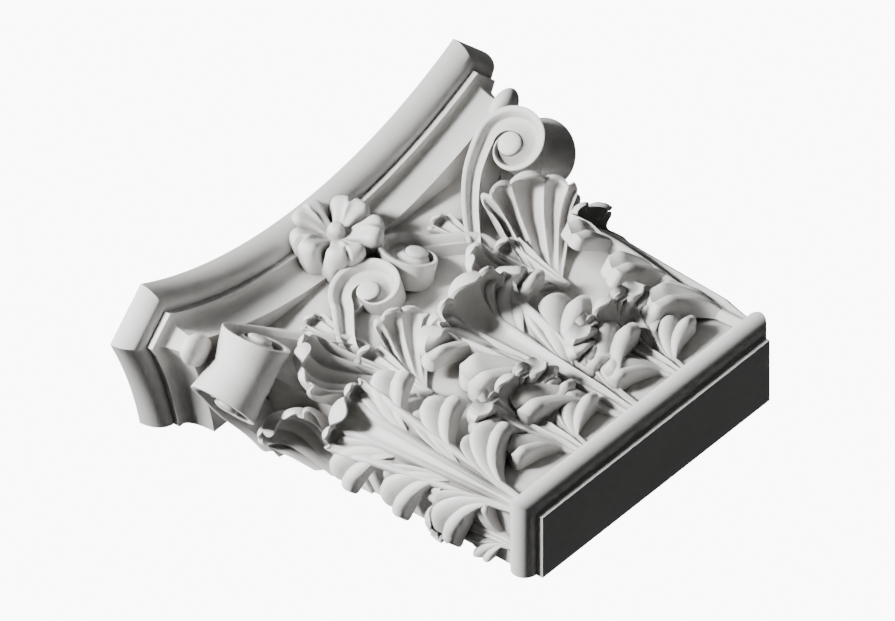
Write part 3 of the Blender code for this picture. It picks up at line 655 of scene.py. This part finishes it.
# Blade: places across it are shares of the half width, and along it of the length
BLADE_FOOT_X = 0.15
BLADE_MIDDLE_X = 0.44
BLADE_MIDDLE_Y = 0.52
LIP_SCALLOP = (0.13, 0.6)
LIP_SCALLOP_X_SHARE = 0.5
LIP_SCALLOP_Y_SHARE = 0.6
LIP_TOOTH_SPREAD = 0.055
FLUTED_TOOTH_SPREAD = 0.03
LOBE_TOOTH_SPREAD = 0.05
# The edges lift off the bell: how steeply, from where in full, and at most how far in leaf lengths
FLARE = 0.70
FLARE_FULL_FROM = 0.5
FLARE_LIMIT = 0.08
# The lip's teeth are scooped out, in front and a little less behind
SCOOP_DEPTH = 0.10
FLUTED_SCOOP_DEPTH = 0.07
SCOOP_RUN = (0.70, 0.96)
SCOOP_ROUNDING = 0.8
SCOOP_BEHIND_SHARE = 0.9
FLUTE_DEPTH = 0.13
FLUTE_ROUNDING = 1.3
FLUTE_RISES, FLUTE_FALLS = (0.05, 0.6), (0.72, 1.0)
SHOULDER_HEIGHT = 0.075
SHOULDER = Fold(0.82, 0.16, (0.10, 0.5), (0.60, 0.90))
GROOVE_DEPTH = 0.030
GROOVE_PER_RIB = 0.4
GROOVE = Fold(0.50, 0.09, (0.0, 0.2), (0.50, 0.85))
RIB = Fold(0.26, 0.10, (0.0, 0.15), (0.66, 0.95))
# The outermost hem is thinner, in metres at the lip and at the sides, from these shares on
LIP_HEM, SIDE_HEM = 0.0014, 0.0012
LIP_HEM_FROM, SIDE_HEM_FROM = 0.95, 0.94
# A wrapped leaf is rounded over its middle, and is less wrapped towards its lip
WRAP_ROUNDING = 0.15
WRAP_LOST_AT_LIP = 0.85

# Lobes: height of the lowest and of the steps up, reach, and the fan of their fingers
LOWEST_LOBE_Y = 0.22
LOBES_RISE = 0.46
LOBE_REACH = 0.45
LOBE_REACH_GROWTH = 0.03
LOBE_FINGERS = 3
LOBE_SCALLOP = (0.16, 0.5)
LOBE_FAN_START = math.radians(-12)
LOBE_FAN = math.radians(128)
# Roots and middles of a lobe's fingers, of the topmost one and how much further out the lowest ones are
LOBE_ROOT_X = (0.08, 0.08)
LOBE_MIDDLE_X = (0.20, 0.16)
LOBE_MIDDLE_Y_SHARE = 0.78
# Heights of a lobe over the bell in metres, then as shares of the half width
LOBE_PROUD = 0.0015
LOBE_RAISED = 0.13
LOBE_RAISED_BY = 0.6
LOBE_TUCK = 0.20
FINGER_HEIGHT = 0.145
FINGER_ROUNDING = 0.75
FINGER_GROWTH = 1.5
OUTER_FINGER, MIDDLE_FINGER_MORE = 0.62, 0.55
FINGER_END_DROP, FINGER_END_FROM = 0.35, 0.86
LOBE_TIP_HEM, LOBE_TIP_HEM_FROM = 0.07, 0.84
LOBE_SIDE_HEM, LOBE_SIDE_HEM_FROM = 0.03, 0.9


def finger_wave(count, tooth, rounding):
    """Wave that is 0 between the fingers or teeth and 1 on their middles."""
    return abs(math.sin(math.pi * count * tooth)) ** rounding


def scalloped(count, tooth, depth, rounding):
    """Share of the full reach that a toothed edge has."""
    return 1 - depth * (1 - finger_wave(count, tooth, rounding))


def broad(u, gain):
    """Spreads the middle tooth wider than its neighbours."""
    return u + gain * math.sin(2 * math.pi * u)


def leaf(carving, foot, across, up, out, kind):
    """Acanthus leaf: a smooth flaring field with a scalloped lip, and fingered lobes down each side.

    The leaf is first thought of flat, as (x, y, lift), and then bent along its spine.
    """
    half_width = kind.half_width
    outs, ups, length = leaf_spine(kind.height, kind.reach)
    slopes_out = np.gradient(outs)
    slopes_up = np.gradient(ups)
    last = len(outs) - 1
    rounding = half_width * WRAP_ROUNDING
    fluted = kind.lobes == 0
    tooth_spread = FLUTED_TOOTH_SPREAD if fluted else LIP_TOOTH_SPREAD
    scoop_depth = FLUTED_SCOOP_DEPTH if fluted else SCOOP_DEPTH

    def bent(x, y, lift):
        share = min(1.0, max(0.0, y / length))
        k = min(int(share * last), last - 1)
        t = share * last - k
        o, z, slope_out, slope_up = (line[k] + (line[k + 1] - line[k]) * t
                                     for line in (outs, ups, slopes_out, slopes_up))
        slope = math.hypot(slope_out, slope_up)
        lift -= kind.wrap * (math.hypot(x, rounding) - rounding) * (1 - WRAP_LOST_AT_LIP * share)
        z += min(0.0, y)
        return foot + across * x + out * (o + lift * slope_up / slope) + up * (z - lift * slope_out / slope)

    def blade(u, v, behind):
        across_share = abs(2 * u - 1)
        turn = math.pi * (u - 0.5)
        tooth = broad(u, tooth_spread)
        scallop = 1 - scalloped(kind.teeth, tooth, *LIP_SCALLOP)
        tip_x = half_width * LIP_SHARE * math.sin(turn) * (1 - LIP_SCALLOP_X_SHARE * scallop)
        tip_y = length * (kind.lip_end + (1 - kind.lip_end) * math.cos(turn))
        tip_y *= 1 - LIP_SCALLOP_Y_SHARE * scallop
        x = bow(half_width * BLADE_FOOT_X * (2 * u - 1), half_width * BLADE_MIDDLE_X * (2 * u - 1), tip_x, v)
        y = bow(-FOOT_SUNK, length * BLADE_MIDDLE_Y, tip_y, v)
        flare = FLARE * x * x / half_width * min(1.0, y / length / FLARE_FULL_FROM)
        flare = min(flare, FLARE_LIMIT * length)
        scoop = scoop_depth * half_width * (0.5 - finger_wave(kind.teeth, tooth, SCOOP_ROUNDING))
        scoop *= ease(*SCOOP_RUN, v)
        if behind:
            return bent(x, y, (BLADE_PROUD + flare - LEAF_THICKNESS) * v - ROOT_DEPTH * (1 - v)
                        + scoop * SCOOP_BEHIND_SHARE)
        if fluted:
            relief = FLUTE_DEPTH * (0.5 - finger_wave(kind.teeth, tooth, FLUTE_ROUNDING))
            relief *= ease(*FLUTE_RISES, v) * (1 - ease(*FLUTE_FALLS, v))
        else:
            relief = SHOULDER_HEIGHT * SHOULDER.share(across_share, v)
            relief += kind.rib * RIB.share(across_share, v)
            relief -= (GROOVE_DEPTH + GROOVE_PER_RIB * kind.rib) * GROOVE.share(across_share, v)
        hem = LIP_HEM * ease(LIP_HEM_FROM, 1.0, v) + SIDE_HEM * ease(SIDE_HEM_FROM, 1.0, across_share)
        return bent(x, y, BLADE_PROUD + flare + scoop + relief * half_width - hem)

    sheet(carving, blade, kind.steps)
    for side in (-1, 1):
        for k in range(kind.lobes):
            step_up = k / max(1, kind.lobes - 1)
            level = LOWEST_LOBE_Y + LOBES_RISE * step_up
            reach = half_width * (LOBE_REACH + LOBE_REACH_GROWTH * k)
            free = LOBE_FREE_SHARE * step_up

            def lobe(u, v, behind, side=side, level=level, reach=reach, free=free):
                if side > 0:
                    u = 1 - u
                angle = LOBE_FAN_START + LOBE_FAN * u
                tooth = broad(u, LOBE_TOOTH_SPREAD)
                scallop = scalloped(LOBE_FINGERS, tooth, *LOBE_SCALLOP)
                tip_x = half_width - reach + reach * math.cos(angle) * scallop
                tip_y = length * level + reach * math.sin(angle) * scallop
                root_x, middle_x = (half_width * (inner + more * (1 - u))
                                    for inner, more in (LOBE_ROOT_X, LOBE_MIDDLE_X))
                root_y = length * (level - LOBE_ROOT_DROP_SHARE)
                middle_y = root_y + LOBE_MIDDLE_Y_SHARE * (tip_y - root_y)
                x = side * bow(root_x, middle_x, tip_x, v)
                y = bow(root_y, middle_y, tip_y, v)
                raised = LOBE_RAISED * math.sin(math.pi / 2 * min(1.0, v / LOBE_RAISED_BY))
                raised += LOBE_TUCK * (0.5 - u) * v
                if behind:
                    return bent(x, y, free * raised * half_width - ROOT_DEPTH)
                finger = FINGER_HEIGHT * finger_wave(LOBE_FINGERS, tooth, FINGER_ROUNDING)
                finger *= OUTER_FINGER + MIDDLE_FINGER_MORE * math.sin(math.pi * u)
                finger *= v ** FINGER_GROWTH * (1 - FINGER_END_DROP * ease(FINGER_END_FROM, 1.0, v))
                hem = LOBE_TIP_HEM * ease(LOBE_TIP_HEM_FROM, 1.0, v)
                hem += LOBE_SIDE_HEM * ease(LOBE_SIDE_HEM_FROM, 1.0, abs(2 * u - 1))
                return bent(x, y, LOBE_PROUD + (raised + finger - hem) * half_width)

            sheet(carving, lobe, LOBE_STEPS)


def all_leaves(carving):
    """Lower row, side leaves, then the taller row in the middle and on the two corners."""
    right = Vector((1, 0, 0))
    leaf(carving, place(0, BELL_FACE, NECK_TOP), right, UP, FRONT, MIDDLE_LEAF)
    for hand in (-1, 1):
        leaf(carving, place(hand * LOWER_LEAF_X, BELL_FACE, NECK_TOP), right, UP, FRONT, LOWER_LEAF)
        out = Vector((hand, -1, 0)).normalized()
        across = Vector((1, hand, 0)).normalized()
        leaf(carving, place(hand * HALF_BELL, BELL_FACE, NECK_TOP), across, UP, out, CORNER_LEAF)
        leaf(carving, place(hand * HALF_BELL, SIDE_LEAF_PLACE, NECK_TOP), Vector((0, hand, 0)), UP,
             Vector((hand, 0, 0)), SIDE_LEAF)


def calyx_leaf(carving, foot, lean, hand, kind, mirrored=False):
    """Blade alone, leaning towards the corner or the middle, on the front or mirrored to the side."""
    shift = VOLUTE_CENTRE[0] - VOLUTE_CENTRE[1]

    def way(dx, dn, dz):
        if mirrored:
            dx, dn = dn, dx
        return Vector((hand * dx, -dn, dz))

    x, n, z = foot
    if mirrored:
        x, n = HALF_BELL + n - BELL_FACE, x - shift
    up = way(math.sin(lean), 0, math.cos(lean))
    out = way(0, 1, 0)
    leaf(carving, place(hand * x, n, z), up.cross(out), up, out, kind)


def all_calyxes(carving):
    """Leaves that the scrolls' stems rise from, and the small ones where the stems part."""
    for hand in (-1, 1):
        for mirrored in (False, True):
            calyx_leaf(carving, CALYX_FOOT, OUTER_CALYX_LEAN, hand, OUTER_CALYX, mirrored)
        calyx_leaf(carving, CALYX_FOOT, INNER_CALYX_LEAN, hand, INNER_CALYX)
        calyx_leaf(carving, STALK_LEAF_FOOT, 0.0, hand, STALK_LEAF)
        calyx_leaf(carving, FORK_LEAF_FOOT, 0.0, hand, FORK_LEAF)


def horn_tongue(carving, hand):
    """Rounded tongue that fills the space between a corner volute and the horn above it."""
    bm = bmesh.new()
    around, over = TONGUE_STEPS
    bmesh.ops.create_uvsphere(bm, u_segments=around, v_segments=over, radius=1.0)
    along, wide, high = TONGUE_SIZE
    bmesh.ops.scale(bm, vec=(wide, along, high), verts=bm.verts)
    bmesh.ops.rotate(bm, matrix=Matrix.Rotation(hand * math.radians(45), 3, "Z"), verts=bm.verts)
    x, n, z = TONGUE_CENTRE
    bmesh.ops.translate(bm, vec=place(hand * x, n, z), verts=bm.verts)
    carving.take(bm)


def carve():
    carving = Carving()
    neck_and_bell(carving)
    abacus(carving)
    rosette(carving)
    for hand in (-1, 1):
        corner_volute(carving, hand)
        helix(carving, hand)
        horn_tongue(carving, hand)
    all_leaves(carving)
    all_calyxes(carving)
    return carving.finish("carved_capital", plaster())


def node(tree, kind, **values):
    """New node with the given values on its inputs, whose names have _ for a space."""
    item = tree.nodes.new(kind)
    for key, value in values.items():
        item.inputs[key.replace("_", " ")].default_value = value
    return item


def ramp(tree, low, low_colour, high, high_colour):
    item = tree.nodes.new("ShaderNodeValToRGB")
    first, second = item.color_ramp.elements
    first.position, first.color = low, (*low_colour, 1)
    second.position, second.color = high, (*high_colour, 1)
    return item


def plaster():
    """White cast gypsum plaster: soft mottling, painted shade that greys the hollows and creases, and a fine
    grain.
    """
    material = bpy.data.materials.new("white_plaster_fine")
    material.use_nodes = True
    tree = material.node_tree
    shader = tree.nodes["Principled BSDF"]
    link = tree.links.new
    place_of = tree.nodes.new("ShaderNodeTexCoord")
    clouds = node(tree, "ShaderNodeTexNoise", Scale=16.0, Detail=6.0, Roughness=0.6)
    grain = node(tree, "ShaderNodeTexNoise", Scale=420.0, Detail=4.0, Roughness=0.6)
    for texture in (clouds, grain):
        link(place_of.outputs["Object"], texture.inputs["Vector"])
    tone = ramp(tree, 0.30, (0.735, 0.725, 0.705), 0.72, (0.835, 0.828, 0.812))
    link(clouds.outputs["Fac"], tone.inputs["Fac"])
    # Painted shade: ambient occlusion darkens the base colour in hollows and creases, down to 0.30 of the
    # plaster's tone
    hollow = node(tree, "ShaderNodeAmbientOcclusion", Distance=0.018)
    hollow.samples = 6
    depth = ramp(tree, 0.22, (0.30, 0.29, 0.28), 0.85, (1, 1, 1))
    link(hollow.outputs["AO"], depth.inputs["Fac"])
    # The painted shade is multiplied into the plaster's tone
    mix = node(tree, "ShaderNodeMixRGB", Fac=1.0)
    mix.blend_type = "MULTIPLY"
    link(tone.outputs["Color"], mix.inputs["Color1"])
    link(depth.outputs["Color"], mix.inputs["Color2"])
    link(mix.outputs["Color"], shader.inputs["Base Color"])
    gloss = node(tree, "ShaderNodeMapRange", To_Min=0.50, To_Max=0.68)
    link(grain.outputs["Fac"], gloss.inputs["Value"])
    link(gloss.outputs["Result"], shader.inputs["Roughness"])
    bump = node(tree, "ShaderNodeBump", Strength=0.25, Distance=0.0003)
    link(grain.outputs["Fac"], bump.inputs["Height"])
    link(bump.outputs["Normal"], shader.inputs["Normal"])
    return material


def seen_apart(tree, lighting, seen, out):
    """The camera sees one shader, so the backdrop is evenly pale, and the capital is lit by the other."""
    path = tree.nodes.new("ShaderNodeLightPath")
    mix = tree.nodes.new("ShaderNodeMixShader")
    tree.links.new(path.outputs["Is Camera Ray"], mix.inputs["Fac"])
    tree.links.new(lighting, mix.inputs[1])
    tree.links.new(seen, mix.inputs[2])
    tree.links.new(mix.outputs["Shader"], out.inputs["Surface"])


def pale_floor():
    material = bpy.data.materials.new("studio_floor")
    material.use_nodes = True
    tree = material.node_tree
    shader = tree.nodes["Principled BSDF"]
    noise = node(tree, "ShaderNodeTexNoise", Scale=3.0, Detail=3.0)
    tone = ramp(tree, 0.0, (0.80, 0.80, 0.80), 1.0, (0.86, 0.86, 0.86))
    tree.links.new(noise.outputs["Fac"], tone.inputs["Fac"])
    tree.links.new(tone.outputs["Color"], shader.inputs["Base Color"])
    shader.inputs["Roughness"].default_value = 0.9
    seen = node(tree, "ShaderNodeEmission", Strength=BACKDROP_STRENGTH)
    seen_apart(tree, shader.outputs["BSDF"], seen.outputs["Emission"], tree.nodes["Material Output"])
    return material


def soft_light(name, towards, distance, size, power):
    """Square soft light, which faces the middle of the capital from the given direction."""
    data = bpy.data.lights.new(name, "AREA")
    data.size = size
    data.spread = LIGHT_SPREAD
    data.energy = power
    item = bpy.data.objects.new(name, data)
    way = Vector(towards).normalized()
    item.location = LIT_POINT + way * distance
    item.rotation_mode = "QUATERNION"
    item.rotation_quaternion = (-way).to_track_quat("-Z", "Y")
    bpy.context.scene.collection.objects.link(item)


def studio():
    """Floor, soft lights and a bright backdrop that gives little light."""
    floor_mesh = bpy.data.meshes.new("studio_floor")
    corners = [(x * FLOOR_HALF, y * FLOOR_HALF, 0) for x, y in ((-1, -1), (1, -1), (1, 1), (-1, 1))]
    floor_mesh.from_pydata(corners, [], [(0, 1, 2, 3)])
    floor_mesh.materials.append(pale_floor())
    floor = bpy.data.objects.new("studio_floor", floor_mesh)
    floor.location = (0, 0, FLOOR_Z)
    bpy.context.scene.collection.objects.link(floor)
    for name, settings in SOFT_LIGHTS.items():
        soft_light(name, *settings)
    world = bpy.data.worlds.new("studio")
    bpy.context.scene.world = world
    world.use_nodes = True
    tree = world.node_tree
    tree.nodes.clear()
    seen = node(tree, "ShaderNodeBackground", Color=(1, 1, 1, 1), Strength=BACKDROP_STRENGTH)
    around = node(tree, "ShaderNodeBackground", Color=(1, 1, 1, 1), Strength=AMBIENT_STRENGTH)
    out = tree.nodes.new("ShaderNodeOutputWorld")
    seen_apart(tree, around.outputs["Background"], seen.outputs["Background"], out)


def camera():
    """Parallel projection from below and from the capital's left, as in the photograph."""
    data = bpy.data.cameras.new("photo_view")
    data.type = "ORTHO"
    data.ortho_scale = PHOTO_WIDTH
    item = bpy.data.objects.new("photo_view", data)
    item.matrix_world = Matrix((PHOTO_RIGHT, PHOTO_UP, PHOTO_BACK)).transposed().to_4x4()
    item.location = (Vector((0, BACK_Y, 0)) + PHOTO_RIGHT * PHOTO_MIDDLE_RIGHT + PHOTO_UP * PHOTO_MIDDLE_UP
                     + PHOTO_BACK * CAMERA_DISTANCE)
    bpy.context.scene.collection.objects.link(item)
    bpy.context.scene.camera = item


carved = carve()
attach(carved, "root")
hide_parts("capital")
studio()
camera()
bpy.context.view_layer.update()
